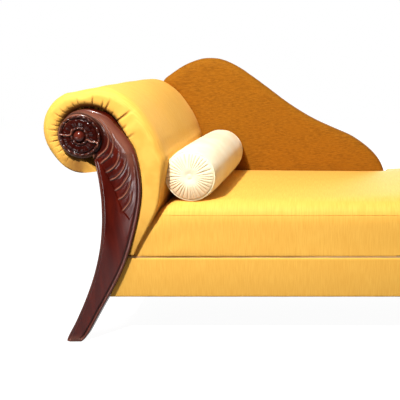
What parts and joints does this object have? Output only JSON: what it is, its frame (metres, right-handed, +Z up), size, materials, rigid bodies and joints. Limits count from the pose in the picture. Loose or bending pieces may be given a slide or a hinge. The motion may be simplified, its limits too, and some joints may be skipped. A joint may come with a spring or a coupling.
{
  "type": "recamier",
  "caption": "Recamier couch with a high scrolled head end, a low scrolled foot end, carved sabre legs, a humped back, an upholstered seat and a loose round bolster.",
  "frame": {"origin": "centre of the object's bounding box in plan, on the floor under the feet", "axes": "+X along the length, from the high head end to the low foot end; +Y from the front to the back; +Z up"},
  "size_m": [1.6987, 0.7, 0.8804],
  "materials": {
    "gold_fabric": "matte",
    "bronze_fabric": "matte",
    "cream_fabric": "satin",
    "mahogany": "gloss",
    "frame_wood": "matte",
    "foam": "matte",
    "webbing": "matte",
    "dust_cloth": "matte",
    "steel": "satin"
  },
  "bodies": {
    "frame": {"back_board": "frame_wood", "back_cover": "bronze_fabric", "back_foam": "foam", "back_post_1": "frame_wood", "back_post_2": "frame_wood", "base_cover_front": "gold_fabric", "base_cover_rear": "gold_fabric", "corner_block_foot_front": "frame_wood", "corner_block_foot_rear": "frame_wood", "corner_block_head_front": "frame_wood", "corner_block_head_rear": "frame_wood", "cross_brace_1": "frame_wood", "cross_brace_2": "frame_wood", "dust_cover": "dust_cloth", "foot_arm_cover": "gold_fabric", "foot_arm_foam": "foam", "foot_bolt_lower_front": "steel", "foot_bolt_lower_rear": "steel", "foot_bolt_upper_front": "steel", "foot_bolt_upper_rear": "steel", "foot_leg_front": "mahogany", "foot_leg_rear": "mahogany", "foot_rail": "frame_wood", "foot_rib_front": "frame_wood", "foot_rib_rear": "frame_wood", "foot_rosette_front": "mahogany", "foot_rosette_rear": "mahogany", "foot_slat_1": "frame_wood", "foot_slat_2": "frame_wood", "front_rail": "frame_wood", "head_arm_cover": "gold_fabric", "head_arm_foam": "foam", "head_bolt_lower_front": "steel", "head_bolt_lower_rear": "steel", "head_bolt_upper_front": "steel", "head_bolt_upper_rear": "steel", "head_leg_front": "mahogany", "head_leg_rear": "mahogany", "head_rail": "frame_wood", "head_rib_front": "frame_wood", "head_rib_rear": "frame_wood", "head_rosette_front": "mahogany", "head_rosette_rear": "mahogany", "head_slat_1": "frame_wood", "head_slat_2": "frame_wood", "head_slat_3": "frame_wood", "rear_rail": "frame_wood", "seat_cover": "gold_fabric", "seat_foam": "foam", "seat_strap_1": "webbing", "seat_strap_2": "webbing", "seat_strap_3": "webbing", "seat_strap_4": "webbing", "seat_strap_5": "webbing"},
    "bolster": {"bolster_button_far": "cream_fabric", "bolster_button_near": "cream_fabric", "bolster_cover": "cream_fabric", "bolster_filling": "foam", "bolster_piping_far": "cream_fabric", "bolster_piping_near": "cream_fabric"}
  },
  "joints": [
    {"name": "bolster_lift", "type": "slide", "parent": "frame", "child": "bolster", "axis": [0.12, 0, 0.9928], "range_m": [0, 0.4]}
  ]
}
